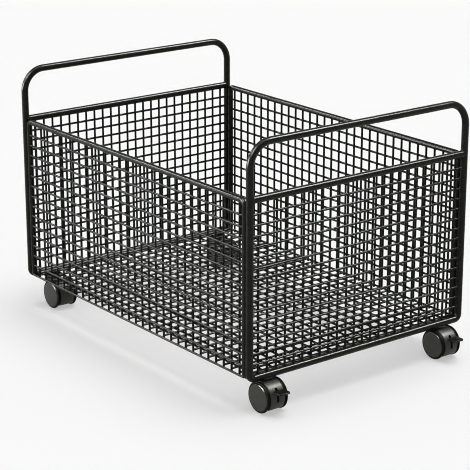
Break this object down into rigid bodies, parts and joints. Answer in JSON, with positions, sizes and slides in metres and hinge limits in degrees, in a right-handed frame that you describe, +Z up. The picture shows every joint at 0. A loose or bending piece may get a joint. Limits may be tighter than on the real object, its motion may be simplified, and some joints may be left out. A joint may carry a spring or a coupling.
{
  "type": "mobile_file_cart",
  "caption": "Black wire-mesh file cart with a tube handle at each end, open top, on braked twin-wheel swivel casters.",
  "frame": {"origin": "on the floor, under the middle of the overall box", "axes": "+X to the front end, along the basket's long sides; +Y to the right-hand long side; +Z up"},
  "size_m": [0.634, 0.421, 0.4045],
  "materials": {
    "powder_coat": "satin black powder coat",
    "caster_plastic": "satin black moulded plastic",
    "steel": "plain turned steel"
  },
  "bodies": {
    "basket": {"front_end_frame": "powder_coat", "rear_end_frame": "powder_coat", "front_crossbar": "powder_coat", "rear_crossbar": "powder_coat", "front_end_mesh": "powder_coat", "rear_end_mesh": "powder_coat", "left_side_frame": "powder_coat", "right_side_frame": "powder_coat", "left_side_mesh": "powder_coat", "right_side_mesh": "powder_coat", "floor_mesh": "powder_coat", "front_left_mount_plate": "powder_coat", "front_left_kingpin": "steel", "front_right_mount_plate": "powder_coat", "front_right_kingpin": "steel", "rear_left_mount_plate": "powder_coat", "rear_left_kingpin": "steel", "rear_right_mount_plate": "powder_coat", "rear_right_kingpin": "steel"},
    "front_left_caster": {"front_left_caster_hood": "caster_plastic", "front_left_axle": "steel"},
    "front_left_left_wheel_body": {"front_left_left_wheel": "caster_plastic"},
    "front_left_right_wheel_body": {"front_left_right_wheel": "caster_plastic"},
    "front_left_brake": {"front_left_brake_lever": "caster_plastic"},
    "front_right_caster": {"front_right_caster_hood": "caster_plastic", "front_right_axle": "steel"},
    "front_right_left_wheel_body": {"front_right_left_wheel": "caster_plastic"},
    "front_right_right_wheel_body": {"front_right_right_wheel": "caster_plastic"},
    "front_right_brake": {"front_right_brake_lever": "caster_plastic"},
    "rear_left_caster": {"rear_left_caster_hood": "caster_plastic", "rear_left_axle": "steel"},
    "rear_left_left_wheel_body": {"rear_left_left_wheel": "caster_plastic"},
    "rear_left_right_wheel_body": {"rear_left_right_wheel": "caster_plastic"},
    "rear_left_brake": {"rear_left_brake_lever": "caster_plastic"},
    "rear_right_caster": {"rear_right_caster_hood": "caster_plastic", "rear_right_axle": "steel"},
    "rear_right_left_wheel_body": {"rear_right_left_wheel": "caster_plastic"},
    "rear_right_right_wheel_body": {"rear_right_right_wheel": "caster_plastic"},
    "rear_right_brake": {"rear_right_brake_lever": "caster_plastic"}
  },
  "joints": [
    {"name": "front_left_swivel", "type": "hinge", "parent": "basket", "child": "front_left_caster", "pos_m": [0.2602, -0.171, 0.04845], "axis": [0, 0, 1], "continuous": true},
    {"name": "front_left_left_wheel_roll", "type": "hinge", "parent": "front_left_caster", "child": "front_left_left_wheel_body", "pos_m": [0.2772, -0.171, 0.0235], "axis": [0, 1, 0], "continuous": true},
    {"name": "front_left_right_wheel_roll", "type": "hinge", "parent": "front_left_caster", "child": "front_left_right_wheel_body", "pos_m": [0.2772, -0.171, 0.0235], "axis": [0, 1, 0], "continuous": true},
    {"name": "front_left_brake_press", "type": "hinge", "parent": "front_left_caster", "child": "front_left_brake", "pos_m": [0.2772, -0.171, 0.0235], "axis": [0, 1, 0], "range_deg": [0, 24]},
    {"name": "front_right_swivel", "type": "hinge", "parent": "basket", "child": "front_right_caster", "pos_m": [0.2602, 0.171, 0.04845], "axis": [0, 0, 1], "continuous": true},
    {"name": "front_right_left_wheel_roll", "type": "hinge", "parent": "front_right_caster", "child": "front_right_left_wheel_body", "pos_m": [0.2772, 0.171, 0.0235], "axis": [0, 1, 0], "continuous": true},
    {"name": "front_right_right_wheel_roll", "type": "hinge", "parent": "front_right_caster", "child": "front_right_right_wheel_body", "pos_m": [0.2772, 0.171, 0.0235], "axis": [0, 1, 0], "continuous": true},
    {"name": "front_right_brake_press", "type": "hinge", "parent": "front_right_caster", "child": "front_right_brake", "pos_m": [0.2772, 0.171, 0.0235], "axis": [0, 1, 0], "range_deg": [0, 24]},
    {"name": "rear_left_swivel", "type": "hinge", "parent": "basket", "child": "rear_left_caster", "pos_m": [-0.2942, -0.171, 0.04845], "axis": [0, 0, 1], "continuous": true},
    {"name": "rear_left_left_wheel_roll", "type": "hinge", "parent": "rear_left_caster", "child": "rear_left_left_wheel_body", "pos_m": [-0.2772, -0.171, 0.0235], "axis": [0, 1, 0], "continuous": true},
    {"name": "rear_left_right_wheel_roll", "type": "hinge", "parent": "rear_left_caster", "child": "rear_left_right_wheel_body", "pos_m": [-0.2772, -0.171, 0.0235], "axis": [0, 1, 0], "continuous": true},
    {"name": "rear_left_brake_press", "type": "hinge", "parent": "rear_left_caster", "child": "rear_left_brake", "pos_m": [-0.2772, -0.171, 0.0235], "axis": [0, -1, 0], "range_deg": [0, 24]},
    {"name": "rear_right_swivel", "type": "hinge", "parent": "basket", "child": "rear_right_caster", "pos_m": [-0.2942, 0.171, 0.04845], "axis": [0, 0, 1], "continuous": true},
    {"name": "rear_right_left_wheel_roll", "type": "hinge", "parent": "rear_right_caster", "child": "rear_right_left_wheel_body", "pos_m": [-0.2772, 0.171, 0.0235], "axis": [0, 1, 0], "continuous": true},
    {"name": "rear_right_right_wheel_roll", "type": "hinge", "parent": "rear_right_caster", "child": "rear_right_right_wheel_body", "pos_m": [-0.2772, 0.171, 0.0235], "axis": [0, 1, 0], "continuous": true},
    {"name": "rear_right_brake_press", "type": "hinge", "parent": "rear_right_caster", "child": "rear_right_brake", "pos_m": [-0.2772, 0.171, 0.0235], "axis": [0, -1, 0], "range_deg": [0, 24]}
  ]
}
